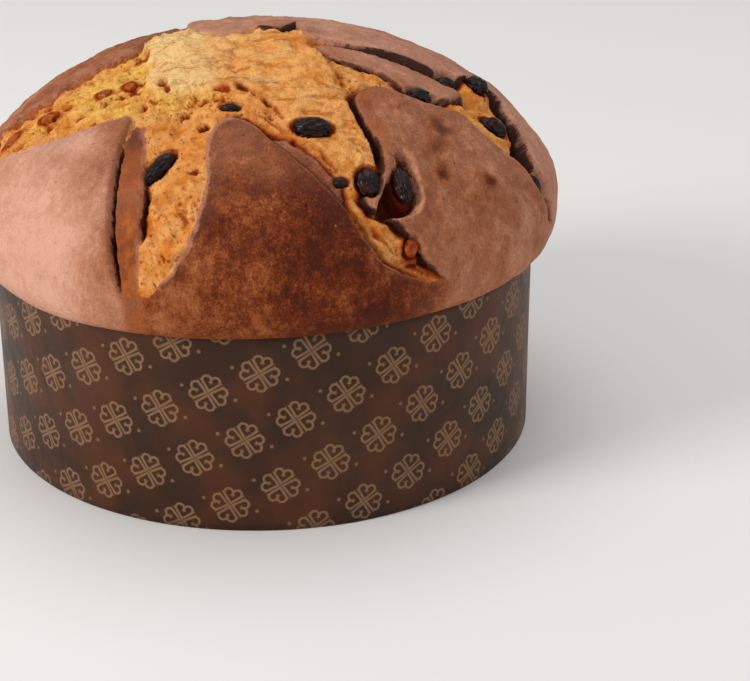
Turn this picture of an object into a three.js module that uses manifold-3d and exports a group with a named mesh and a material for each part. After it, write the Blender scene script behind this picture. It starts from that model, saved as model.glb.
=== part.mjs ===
// Panettone in a low paper baking mould.
//
// Millimetres, +Z up. The origin is at the centre of the mould's underside, on the table.
// Azimuths are in degrees, measured from the front (-Y) and growing towards +X.
// "Climb" is the dome's own latitude in degrees: 0 at its widest level and 90 at its top.

import * as THREE from 'three';
import { mergeVertices } from 'three/addons/utils/BufferGeometryUtils.js';
import Module from 'manifold-3d';

// ---------------------------------------------------------------- driving dimensions
const MOULD_RADIUS = 105;        // outside of the paper side strip
const MOULD_HEIGHT = 78;         // top edge of the strip above the table
const PAPER = 0.5;               // thickness of the side strip and of the base disc
const SKIRT_PAPER = 0.4;         // thickness of the base's turned-up rim
const SKIRT_HEIGHT = 9;
const GAP = 0.3;                 // clearance between pieces that touch

const WIDEST_RADIUS = 114.5;     // dome at its widest level
const WIDEST_LEVEL = 90;
const TOTAL_HEIGHT = 158;
const DOME_POWER = 1.9;          // 2 would be an ellipse

const FLAP_LIFT = 1;             // how far a crust flap stands proud of the dome
const CROWN_LIFT = 1.5;          // and the torn crumb of the domed middle
const CREST_SOFTNESS = 2.5;      // half the width over which a flap's edge falls into the groove
const BREAK_SOFTNESS = 2;        // the same where the middle breaks off above a groove, in degrees of climb

const LOAF_SEGMENTS = 80;
const PAPER_SEGMENTS = 80;

// ---------------------------------------------------------------- helpers
const radians = THREE.MathUtils.degToRad;
const wasm = await Module();
wasm.setup();

function welded(geometry) {
  const bare = geometry.clone();
  bare.deleteAttribute('normal');
  bare.deleteAttribute('uv');
  return mergeVertices(bare, 1e-3);
}

function toSolid(geometry) {
  const source = welded(geometry);
  const vertProperties = new Float32Array(source.attributes.position.array);
  const triVerts = new Uint32Array(source.index.array);
  return new wasm.Manifold(new wasm.Mesh({ numProp: 3, vertProperties, triVerts }));
}

function fromSolid(solid) {
  const result = solid.getMesh();
  const geometry = new THREE.BufferGeometry();
  geometry.setAttribute('position', new THREE.BufferAttribute(result.vertProperties, 3));
  geometry.setIndex(new THREE.BufferAttribute(result.triVerts, 1));
  geometry.computeVertexNormals();
  return geometry;
}

// A lathe turns about Y, so its shape is stood up to turn about Z.
function latheAboutZ(points, segments) {
  const geometry = new THREE.LatheGeometry(points, segments);
  geometry.rotateX(Math.PI / 2);
  return geometry;
}

function smoothStep(low, high, value) {
  return THREE.MathUtils.smoothstep(value, low, high);
}

// Value at `at` on a line through [key, value] stops, flat beyond the ends.
function along(stops, at) {
  if (at <= stops[0][0]) {
    return stops[0][1];
  }
  for (let i = 1; i < stops.length; i += 1) {
    const [key, value] = stops[i];
    const [keyBefore, valueBefore] = stops[i - 1];
    if (at <= key) {
      return THREE.MathUtils.mapLinear(at, keyBefore, key, valueBefore, value);
    }
  }
  return stops[stops.length - 1][1];
}

// The same all round the loaf, from stops that cover one turn.
function around(stops, azimuth) {
  const start = stops[0][0];
  return along(stops, THREE.MathUtils.euclideanModulo(azimuth - start, 360) + start);
}

// ---------------------------------------------------------------- dome
function domeRadius(climb) {
  return WIDEST_RADIUS * Math.max(Math.cos(radians(climb)), 0) ** (2 / DOME_POWER);
}

function domeLevel(climb) {
  const rise = TOTAL_HEIGHT - CROWN_LIFT - WIDEST_LEVEL;
  return WIDEST_LEVEL + rise * Math.sin(radians(climb)) ** (2 / DOME_POWER);
}

// Five crust flaps. Left and right edges are azimuths at some climbs; tip is the climb of the point.
const FLAPS = [
  { left: [[0, -88], [27, -72], [36, -62], [44, -49], [49, -42]],
    right: [[0, -25], [12, -28], [31, -32], [40, -35], [49, -38]],
    tip: 50 },
  { left: [[0, -20], [13, -17], [28, -13], [43, -13], [52, -12]],
    right: [[0, 31], [17, 23], [33, 14], [44, 7], [52, -3]],
    tip: 53 },
  { left: [[0, 36], [27, 27], [43, 29], [55, 31], [64, 40]],
    right: [[0, 68], [23, 64], [35, 58], [49, 52], [57, 47], [64, 42]],
    tip: 62 },
  { left: [[0, 71], [21, 73], [35, 83], [50, 84], [64, 88], [80, 110]],
    right: [[0, 176], [30, 182], [55, 186], [70, 190], [80, 196]],
    tip: 78 },
  { left: [[0, 184], [30, 192], [50, 204], [65, 226]],
    right: [[0, 265], [20, 268], [40, 275], [51, 284], [60, 294], [66, 300]],
    tip: 65 },
];

// Distance in millimetres from a place on the dome to the nearest edge of a flap, positive inside it.
function insideFlap(flap, azimuth, climb) {
  const middle = (along(flap.left, climb) + along(flap.right, climb)) / 2;
  const turned = THREE.MathUtils.euclideanModulo(azimuth - middle + 180, 360) - 180;
  const halfWidth = (along(flap.right, climb) - along(flap.left, climb)) / 2;
  const sideways = radians(halfWidth - Math.abs(turned)) * domeRadius(climb);
  const upwards = radians(flap.tip - climb) * WIDEST_RADIUS;
  return Math.min(sideways, upwards);
}

// Torn crumb between the flaps, by azimuth: how far a groove's floor stands above the dome, or below it
// when negative, and the climb at which the domed middle breaks off above the groove.
const GROOVE_FLOOR = [
  [-92, -3], [-60, -2.6], [-36, -1.5], [-26, -2.4], [-17, 0.6], [0, 0.8], [10, 0.4], [18, -1], [26, -1.5],
  [42, -1], [60, -2.6], [90, -3], [268, -3],
];
const BREAK_LINE = [
  [-95, 64], [-60, 60], [-35, 58], [-12, 57], [2, 54], [10, 43], [17, 36], [25, 36], [31, 50], [42, 66],
  [70, 78], [120, 80], [165, 76], [210, 68], [265, 64],
];

function crustLift(azimuth, climb) {
  const inside = Math.max(...FLAPS.map((flap) => insideFlap(flap, azimuth, climb)));
  const onFlap = smoothStep(-CREST_SOFTNESS, CREST_SOFTNESS, inside);
  const pastBreak = climb - around(BREAK_LINE, azimuth);
  const onCrown = smoothStep(-BREAK_SOFTNESS, BREAK_SOFTNESS, pastBreak);
  const crumb = THREE.MathUtils.lerp(around(GROOVE_FLOOR, azimuth), CROWN_LIFT, onCrown);
  const raised = THREE.MathUtils.lerp(crumb, FLAP_LIFT, onFlap);
  return raised * smoothStep(3, 14, climb);
}

function slopeAt(climb) {
  const step = 0.5;
  const low = Math.max(climb - step, 0);
  const high = Math.min(climb + step, 90);
  const run = domeRadius(low) - domeRadius(high);
  const rise = domeLevel(high) - domeLevel(low);
  return Math.atan2(run, rise);
}

// Point on the dome, `proud` millimetres above its crust, with the direction that faces outwards there.
function domePoint(azimuth, climb, proud) {
  const slope = slopeAt(climb);
  const turn = radians(azimuth);
  const outward = new THREE.Vector3(
    Math.sin(turn) * Math.cos(slope),
    -Math.cos(turn) * Math.cos(slope),
    Math.sin(slope),
  );
  const point = new THREE.Vector3(
    Math.sin(turn) * domeRadius(climb),
    -Math.cos(turn) * domeRadius(climb),
    domeLevel(climb),
  );
  point.addScaledVector(outward, crustLift(azimuth, climb) + proud);
  return { point, outward };
}

// ---------------------------------------------------------------- paper mould
const bandInside = MOULD_RADIUS - PAPER;
const skirtOutside = bandInside - GAP;
const skirtInside = skirtOutside - SKIRT_PAPER;

function bandGeometry() {
  const bottom = GAP;
  const section = [
    new THREE.Vector2(bandInside, bottom),
    new THREE.Vector2(MOULD_RADIUS, bottom),
    new THREE.Vector2(MOULD_RADIUS, MOULD_HEIGHT),
    new THREE.Vector2(bandInside, MOULD_HEIGHT),
    new THREE.Vector2(bandInside, bottom),
  ];
  return latheAboutZ(section, PAPER_SEGMENTS);
}

function baseGeometry() {
  const section = [
    new THREE.Vector2(0, 0),
    new THREE.Vector2(skirtOutside - PAPER, 0),
    new THREE.Vector2(skirtOutside, PAPER),
    new THREE.Vector2(skirtOutside, SKIRT_HEIGHT),
    new THREE.Vector2(skirtInside, SKIRT_HEIGHT),
    new THREE.Vector2(skirtInside, PAPER),
    new THREE.Vector2(0, PAPER),
  ];
  return latheAboutZ(section, PAPER_SEGMENTS);
}

// ---------------------------------------------------------------- loaf
const LIP_STEPS = 4;
const DOME_STEPS = 28;

function loafSection() {
  const bottom = PAPER + GAP;
  const bodyRadius = bandInside - GAP;
  const footRadius = skirtInside - GAP;
  const lipLevel = MOULD_HEIGHT + GAP;
  const points = [
    new THREE.Vector2(0, bottom),
    new THREE.Vector2(footRadius - 3, bottom),
    new THREE.Vector2(footRadius, bottom + 3),
    new THREE.Vector2(footRadius, SKIRT_HEIGHT),
    new THREE.Vector2(bodyRadius, SKIRT_HEIGHT + 1.5),
    new THREE.Vector2(bodyRadius, lipLevel),
  ];
  const lipInner = MOULD_RADIUS + 1;
  for (let i = 0; i < LIP_STEPS; i += 1) {
    const turn = (i / LIP_STEPS) * (Math.PI / 2);
    const x = lipInner + (WIDEST_RADIUS - lipInner) * Math.sin(turn);
    const y = lipLevel + (WIDEST_LEVEL - lipLevel) * (1 - Math.cos(turn));
    points.push(new THREE.Vector2(x, y));
  }
  for (let i = 0; i < DOME_STEPS; i += 1) {
    const climb = (i / DOME_STEPS) * 90;
    points.push(new THREE.Vector2(domeRadius(climb), domeLevel(climb)));
  }
  points.push(new THREE.Vector2(0, domeLevel(90)));
  return points;
}

function climbOf(level) {
  const share = (level - WIDEST_LEVEL) / (domeLevel(90) - WIDEST_LEVEL);
  const sine = THREE.MathUtils.clamp(share, 0, 1) ** (DOME_POWER / 2);
  return THREE.MathUtils.radToDeg(Math.asin(sine));
}

function loafGeometry() {
  const geometry = welded(latheAboutZ(loafSection(), LOAF_SEGMENTS));
  const place = geometry.attributes.position;
  for (let i = 0; i < place.count; i += 1) {
    if (place.getZ(i) > WIDEST_LEVEL + 0.01) {
      const azimuth = THREE.MathUtils.radToDeg(Math.atan2(place.getX(i), -place.getY(i)));
      const { point } = domePoint(azimuth, climbOf(place.getZ(i)), 0);
      place.setXYZ(i, point.x, point.y, point.z);
    }
  }
  geometry.computeVertexNormals();
  return geometry;
}

// ---------------------------------------------------------------- fruit in the crumb
const FRUIT_DETAIL = 1;

// Sizes are full length, width and thickness; `show` is the share of the thickness above the crust.
const RAISINS = [
  // front groove, and along the middle's lower edge
  { azimuth: -24, climb: 39, size: [15, 7.5, 7], spin: 68, show: 0.4 },
  { azimuth: 13.5, climb: 48.5, size: [14.5, 9.5, 8], spin: -12, show: 0.5 },
  { azimuth: 22.5, climb: 33.5, size: [12, 9.5, 7.5], spin: 75, show: 0.5 },
  { azimuth: 29.5, climb: 31, size: [15, 7, 7], spin: 80, show: 0.3 },
  { azimuth: -10, climb: 55.5, size: [7.5, 4.5, 4.5], spin: 0, show: 0.4 },
  { azimuth: 16.5, climb: 34.5, size: [5.5, 4.5, 4], spin: 0, show: 0.45 },
  // right-hand groove
  { azimuth: 60, climb: 52.5, size: [11.5, 8, 7], spin: -30, show: 0.45 },
  { azimuth: 80.5, climb: 50, size: [11.5, 8, 7], spin: -50, show: 0.45 },
  { azimuth: 84.5, climb: 43.5, size: [11.5, 8.5, 8], spin: 35, show: 0.6 },
  { azimuth: 72, climb: 35.5, size: [13, 10.5, 8], spin: -55, show: 0.5 },
  { azimuth: 69.5, climb: 16, size: [9, 7, 6], spin: 85, show: 0.45 },
  // back groove
  { azimuth: 208, climb: 62, size: [13, 9, 7.5], spin: -40, show: 0.5 },
  { azimuth: 196, climb: 52, size: [13, 9, 7.5], spin: 20, show: 0.5 },
  { azimuth: 188, climb: 34, size: [12, 8.5, 7], spin: 80, show: 0.5 },
  { azimuth: 185, climb: 20, size: [10, 8, 6.5], spin: 60, show: 0.45 },
  // left-hand groove, low down
  { azimuth: 276, climb: 22, size: [12, 9, 7], spin: -70, show: 0.45 },
];

const CANDIED_FRUIT = [
  { azimuth: -77, climb: 31.5, size: [10, 6, 5.5], spin: 65, show: 0.45 },
  { azimuth: -71, climb: 42, size: [9, 6, 5.5], spin: 40, show: 0.45 },
  { azimuth: -62.5, climb: 54, size: [6.5, 5, 4.5], spin: 30, show: 0.45 },
  { azimuth: -56, climb: 58.5, size: [6, 5, 4.5], spin: 10, show: 0.45 },
  { azimuth: 27, climb: 14, size: [8, 6.5, 5.5], spin: 60, show: 0.45 },
  { azimuth: 192, climb: 43, size: [8.5, 6.5, 6], spin: -15, show: 0.45 },
];

// A plump oval laid on the crust, its length turned by `spin` from level. Its pocket is the same oval
// grown all round by the clearance.
function fruitGeometry(fruit, growth) {
  const [length, width, thickness] = fruit.size;
  const { point, outward } = domePoint(fruit.azimuth, fruit.climb, thickness * (fruit.show - 0.5));
  const level = new THREE.Vector3(Math.cos(radians(fruit.azimuth)), Math.sin(radians(fruit.azimuth)), 0);
  const upslope = new THREE.Vector3().crossVectors(outward, level);
  const lengthwise = level.clone().multiplyScalar(Math.cos(radians(fruit.spin)));
  lengthwise.addScaledVector(upslope, Math.sin(radians(fruit.spin)));
  const widthwise = new THREE.Vector3().crossVectors(outward, lengthwise);
  const placed = new THREE.Matrix4().makeBasis(lengthwise, widthwise, outward);
  placed.setPosition(point);
  const geometry = new THREE.IcosahedronGeometry(1, FRUIT_DETAIL);
  geometry.scale(length / 2 + growth, width / 2 + growth, thickness / 2 + growth);
  geometry.applyMatrix4(placed);
  return geometry;
}

function pocketed(geometry, fruits) {
  let solid = toSolid(geometry);
  for (const fruit of fruits) {
    solid = solid.subtract(toSolid(fruitGeometry(fruit, GAP)));
  }
  return fromSolid(solid);
}

// ---------------------------------------------------------------- finishes and assembly
const crust = { color: 0xa8683c, roughness: 0.6, metalness: 0 };
const printedPaper = { color: 0x3a2518, roughness: 0.45, metalness: 0 };
const plainPaper = { color: 0x5a3b26, roughness: 0.7, metalness: 0 };
const raisinSkin = { color: 0x2a1512, roughness: 0.35, metalness: 0 };
const candiedPeel = { color: 0xd2561c, roughness: 0.25, metalness: 0 };

const panettone = new THREE.Group();

function addPiece(name, geometry, finish) {
  const mesh = new THREE.Mesh(geometry, new THREE.MeshStandardMaterial(finish));
  mesh.name = name;
  panettone.add(mesh);
}

function numbered(stem, index) {
  return `${stem}_${String(index + 1).padStart(2, '0')}`;
}

addPiece('loaf', pocketed(loafGeometry(), [...RAISINS, ...CANDIED_FRUIT]), crust);
addPiece('paper_band', bandGeometry(), printedPaper);
addPiece('paper_base', baseGeometry(), plainPaper);
RAISINS.forEach((fruit, index) => {
  addPiece(numbered('raisin', index), fruitGeometry(fruit, 0), raisinSkin);
});
CANDIED_FRUIT.forEach((fruit, index) => {
  addPiece(numbered('candied_fruit', index), fruitGeometry(fruit, 0), candiedPeel);
});

export default panettone;
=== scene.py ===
"""Panettone in its low paper baking mould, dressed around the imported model.

Metres, +Z up, with the origin at the centre of the mould's underside. The loaf's own measures below are in
millimetres and turned into metres where a point is placed. Azimuths are degrees from the front (-Y),
growing towards +X. Climb is the dome's own latitude, 0 at its widest level and 90 at its top.
"""
import math

import bmesh
import bpy
import numpy as np
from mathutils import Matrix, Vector, noise


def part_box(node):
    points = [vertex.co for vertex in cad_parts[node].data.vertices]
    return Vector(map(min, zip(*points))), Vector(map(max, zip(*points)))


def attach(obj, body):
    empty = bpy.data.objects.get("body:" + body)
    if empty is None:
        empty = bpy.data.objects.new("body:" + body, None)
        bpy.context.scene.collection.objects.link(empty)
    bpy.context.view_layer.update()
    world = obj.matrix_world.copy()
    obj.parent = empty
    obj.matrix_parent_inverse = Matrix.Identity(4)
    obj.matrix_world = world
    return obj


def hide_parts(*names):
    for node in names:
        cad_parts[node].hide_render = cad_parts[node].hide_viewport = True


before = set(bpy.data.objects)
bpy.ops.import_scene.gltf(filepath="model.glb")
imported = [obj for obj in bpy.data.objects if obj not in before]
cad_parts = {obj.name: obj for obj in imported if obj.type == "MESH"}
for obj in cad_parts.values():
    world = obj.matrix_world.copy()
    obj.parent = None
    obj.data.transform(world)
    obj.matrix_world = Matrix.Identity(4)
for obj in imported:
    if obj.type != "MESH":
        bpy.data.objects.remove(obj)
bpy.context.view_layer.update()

MM = 0.001
FULL_TURN = 360
NOISE_SEED = 5
noise.seed_set(NOISE_SEED)

# ---------------------------------------------------------------- measures taken from the frame, in mm
_, loaf_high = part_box("loaf")
band_low, band_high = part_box("paper_band")
_, base_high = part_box("paper_base")
WIDEST_RADIUS = loaf_high.x / MM
TOTAL_HEIGHT = loaf_high.z / MM
MOULD_RADIUS = band_high.x / MM
MOULD_FOOT = band_low.z / MM
MOULD_TOP = band_high.z / MM
SKIRT_RADIUS = base_high.x / MM
SKIRT_TOP = base_high.z / MM

# ---------------------------------------------------------------- measures of the dough, in mm
WIDEST_LEVEL = 90
DOME_POWER = 1.9            # 2 would be an ellipse
CROWN_RISE = 1.5            # how far the torn middle stands above the plain dome
PAPER = 0.5                 # thickness of the mould's strip
BASE_PAPER = 0.3            # and of its bottom
CLEARANCE = 0.3             # between the dough and what it holds or stands in
DOME_CELLS = 286      # squares across the dome's grid


# ---------------------------------------------------------------- sums
def clamp(value, low=0.0, high=1.0):
    return max(low, min(high, value))


def blend(start, end, share):
    return start + (end - start) * share


def ease(low, high, value):
    """0 below low, 1 above high, with a soft start and finish."""
    share = clamp((value - low) / (high - low))
    return share * share * (3 - 2 * share)


def hump(distance, width):
    """A bell, 1 at no distance and falling away over width."""
    return math.exp(-(distance / width) ** 2)


def soft_least(first, second, roundness):
    """The smaller of two distances, with the corner between them rounded."""
    share = clamp(0.5 + 0.5 * (second - first) / roundness)
    return blend(second, first, share) - roundness * share * (1 - share)


def along(stops, place):
    """Value at a place on the smooth curve through (place, value) stops, flat beyond its ends."""
    if place <= stops[0][0]:
        return stops[0][1]
    if place >= stops[-1][0]:
        return stops[-1][1]
    here = next(i for i in range(1, len(stops)) if place <= stops[i][0])
    (x0, y0), (x1, y1) = stops[here - 1], stops[here]
    before = stops[max(here - 2, 0)]
    after = stops[min(here + 1, len(stops) - 1)]
    slope0 = (y1 - before[1]) / (x1 - before[0])
    slope1 = (after[1] - y0) / (after[0] - x0)
    t = (place - x0) / (x1 - x0)
    span = x1 - x0
    ends = y0 * (1 + 2 * t) * (1 - t) ** 2 + y1 * t * t * (3 - 2 * t)
    leans = slope0 * t * (1 - t) ** 2 - slope1 * t * t * (1 - t)
    return ends + leans * span


class Curve:
    """A smooth curve through (place, value) stops, worked out once and then read from a table."""

    STEP = 0.25

    def __init__(self, stops, turning=False):
        self.turning = turning          # for a value that goes round the loaf and meets itself
        if turning:
            stops = stops + [(stops[0][0] + FULL_TURN, stops[0][1])]
        self.start = stops[0][0]
        count = int((stops[-1][0] - self.start) / self.STEP) + 2
        self.values = [along(stops, self.start + self.STEP * step) for step in range(count)]

    def at(self, place):
        if self.turning:
            place = (place - self.start) % FULL_TURN + self.start
        steps = (place - self.start) / self.STEP
        if steps <= 0:
            return self.values[0]
        if steps >= len(self.values) - 1:
            return self.values[-1]
        whole = int(steps)
        return blend(self.values[whole], self.values[whole + 1], steps - whole)


# ---------------------------------------------------------------- the plain dome
def round_point(turn, radius, level):
    """A point by its turn from the front in radians, its distance from the axis and its level."""
    return Vector((radius * math.sin(turn), -radius * math.cos(turn), level))


def dome_radius(climb):
    return WIDEST_RADIUS * max(math.cos(math.radians(climb)), 0) ** (2 / DOME_POWER)


def dome_level(climb):
    rise = TOTAL_HEIGHT - CROWN_RISE - WIDEST_LEVEL
    return WIDEST_LEVEL + rise * max(math.sin(math.radians(climb)), 0) ** (2 / DOME_POWER)


def dome_point(azimuth, climb):
    return round_point(math.radians(azimuth), dome_radius(climb), dome_level(climb))


CLIMBS = np.linspace(0, 90, 181)
SECTION = np.array([(dome_radius(c), dome_level(c)) for c in CLIMBS])
WALKED = np.concatenate([[0], np.cumsum(np.hypot(*np.diff(SECTION, axis=0).T))])
SLOPES = np.arctan2(-np.gradient(SECTION[:, 0]), np.gradient(SECTION[:, 1]))
DOME_WALK = float(WALKED[-1])                         # mm up the dome from the widest level to its top
walked_to = Curve(list(zip(CLIMBS, WALKED)))
climb_after = Curve(list(zip(WALKED, CLIMBS)))
slope_at = Curve(list(zip(CLIMBS, SLOPES)))


def dome_normal(azimuth, climb):
    slope = slope_at.at(climb)
    return round_point(math.radians(azimuth), math.cos(slope), math.sin(slope))


def azimuth_of(point):
    return math.degrees(math.atan2(point.x, -point.y))


def outward_near(point):
    """The way out of the dome at the place on it nearest to a point."""
    away = np.hypot(SECTION[:, 0] - math.hypot(point.x, point.y), SECTION[:, 1] - point.z)
    return dome_normal(azimuth_of(point), float(CLIMBS[int(np.argmin(away))]))


# ---------------------------------------------------------------- rough surfaces
# Sizes are in mm. A seed moves the noise elsewhere, so that no two uses of it line up.
CLOUD_LEVELS = (0.9, 2.1, 4)    # how soon finer blotches fade, how much finer each level is, and how many


def patch(point, size, seed=0.0):
    """Soft noise from -1 to 1 whose blotches are about `size` mm across."""
    return noise.noise(point / size + Vector((seed, seed * 1.7, -seed)))


def cloudy(point, size, seed=0.0):
    """Soft noise about 0 with finer blotches within the larger ones."""
    return noise.fractal(point / size + Vector((seed, -seed, seed * 2.3)), *CLOUD_LEVELS)


def ridged(point, size, seed=0.0):
    """1 along sharp crests and 0 between them."""
    first = 1 - abs(patch(point, size, seed)) * 2.2
    second = 1 - abs(patch(point, size * 0.5, seed + 9.1)) * 2.2
    return clamp(0.65 * first + 0.35 * second)


def bubble(point, size, seed, share):
    """Depth from 0 to 1 of a round hole of torn crumb; only that share of the cells has one."""
    spread, centres = noise.voronoi(point / size + Vector((seed, seed, seed)))
    keep = 0.5 + 0.5 * noise.cell(centres[0] * 7.31 + Vector((seed, 0, 0)))
    return (1 - ease(0.10, 0.42, spread[0])) * ease(0, 0.12, share - keep)


def swirled(point, size, reach, seed=0.0):
    """The point pushed about by up to `reach` mm, so that what is worked out there has ragged outlines."""
    return point + noise.noise_vector(point / size + Vector((seed, seed, seed))) * reach


# ---------------------------------------------------------------- crust flaps
class Edge:
    """One torn edge of a flap, from its azimuth at each climb.

    Curl is how far its lip stands up, crack how deep the crumb lies beside it, between the climbs of
    crack_span, and layers how far torn layers run beside it, all in mm. Pale is how light the torn rim
    shows, from 0 to 1, and wander how far it strays from its line, in mm. Softness is how many times wider
    than usual the skin takes to fade out. Wall is how many mm of the lip's own side get the painted shadow
    of the crack below it, by climb; along the crack itself a dark line of painted shadow is drawn.
    """

    def __init__(self, stops, curl, crack, pale=0.3, wander=0.6, layers=0, softness=1,
                 wall=((0, 0),), crack_span=(-10, 100)):
        self.line = Curve(stops)
        self.curl = curl
        self.crack = crack
        self.crack_span = crack_span
        self.softness = softness
        self.wall = Curve(list(wall))
        self.pale = pale
        self.wander = wander
        self.layers = layers

    def crack_depth(self, climb):
        low, high = self.crack_span
        return self.crack * ease(low - 3, low + 3, climb) * (1 - ease(high - 3, high + 3, climb))

    def lean(self, climb):
        """How much the edge drifts sideways for each mm that it climbs."""
        drift = self.line.at(climb + 1) - self.line.at(climb - 1)
        climbed = walked_to.at(climb + 1) - walked_to.at(climb - 1)
        return drift * mm_per_degree(climb) / max(climbed, 0.1)


def mm_per_degree(climb):
    return math.radians(max(dome_radius(climb), 1))


class Flap:
    """A piece of crust lifted by the rising dough, up to the climb of its tip.

    It comes down to the mould unless it has a foot, the climb of its lower end. Roast, bloom and glow go
    from 0, none, to 1; the bloom is a greyish mauve, partly the crust's own tone and partly painted sheen.
    """

    FAR = 16        # mm past an edge where a flap no longer matters

    def __init__(self, left, right, tip, roast, sheen_bloom, glow=0.0, rise=0.6, puff=0.8, lumpy=0.3, foot=None):
        self.left = left
        self.right = right
        self.tip = tip
        self.foot = foot
        self.roast = roast          # how dark it is baked
        self.sheen_bloom = sheen_bloom          # greyish mauve bloom of the upper crust, partly painted sheen
        self.glow = glow            # orange of the younger, softer crust
        self.rise = rise            # height in mm against the plain dome
        self.puff = puff            # how much its middle swells, in mm
        self.lumpy = lumpy          # height of its smaller bumps, in mm

    def place(self, azimuth, climb):
        """Where a place on the dome lies against the flap, or nothing if it is far off."""
        left = self.left.line.at(climb)
        right = self.right.line.at(climb)
        middle = (left + right) / 2
        turned = (azimuth - middle + 180) % FULL_TURN - 180 + middle
        per_degree = mm_per_degree(climb)
        to_left = (turned - left) * per_degree
        to_right = (right - turned) * per_degree
        to_tip = walked_to.at(self.tip) - walked_to.at(climb)
        if min(to_left, to_right, to_tip) < -self.FAR:
            return None
        return Place(self, to_left, to_right, to_tip, climb)


class Place:
    """Distances in mm from one place on the dome to one flap's edges; positive is inside the flap."""

    def __init__(self, flap, to_left, to_right, to_tip, climb):
        self.flap = flap
        left_lean = flap.left.lean(climb)
        right_lean = flap.right.lean(climb)
        self.to_left = to_left / math.hypot(1, left_lean)
        self.to_right = to_right / math.hypot(1, right_lean)
        self.to_tip = to_tip
        self.climb = climb
        sides = soft_least(self.to_left, self.to_right, TIP_ROUNDNESS)
        self.inside = soft_least(sides, to_tip, TIP_ROUNDNESS)
        if flap.foot:
            to_foot = walked_to.at(climb) - walked_to.at(flap.foot)
            self.inside = soft_least(self.inside, to_foot, TIP_ROUNDNESS)
        self.on_left = self.to_left < self.to_right
        self.edge = flap.left if self.on_left else flap.right
        self.lean = left_lean if self.on_left else -right_lean
        rightness = ease(-3, 3, self.to_left - self.to_right)
        self.crack = blend(flap.left.crack_depth(climb), flap.right.crack_depth(climb), rightness)
        self.pale = blend(flap.left.pale, flap.right.pale, rightness)
        self.weight = math.exp(clamp(self.inside, -Flap.FAR, 3) / 2)

    def past_crevice_shadow(self):
        """Distance in mm from the middle of the painted shadow line that runs along the edge."""
        return self.inside - CREVICE_SHADOW_MIDDLE - self.edge.wall.at(self.climb) / 2


TIP_ROUNDNESS = 5           # mm within which a flap's corners are rounded
CURL_REACH = 4.5            # mm from the edge over which a lip stands up
PUFF_REACH = 14             # mm in from the edge by which a flap has swollen to nearly two thirds
BROAD_RIGHT = [(0, -25.6), (7, -26.7), (15, -28.3), (23, -30.1), (31, -32.2), (40, -35), (49, -38)]
POINTED_RIGHT = [(0, 32), (10, 22), (16.6, 18.9), (23, 17), (29, 15), (35, 12), (40, 8.5), (46, 3.2),
                 (50, -1.1), (54, -6)]
LONG_LEFT = [(0, 71), (8, 69.5), (16, 68.5), (23, 69.5), (28, 74), (33, 80), (38, 86), (43, 89), (47, 85),
             (50, 79), (55, 77), (61, 77.5), (67, 76), (72, 73.5), (78, 69), (84, 60)]


def shifted(stops, turn, low=-90, high=90):
    return [(climb, azimuth + turn) for climb, azimuth in stops if low <= climb <= high]


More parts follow.
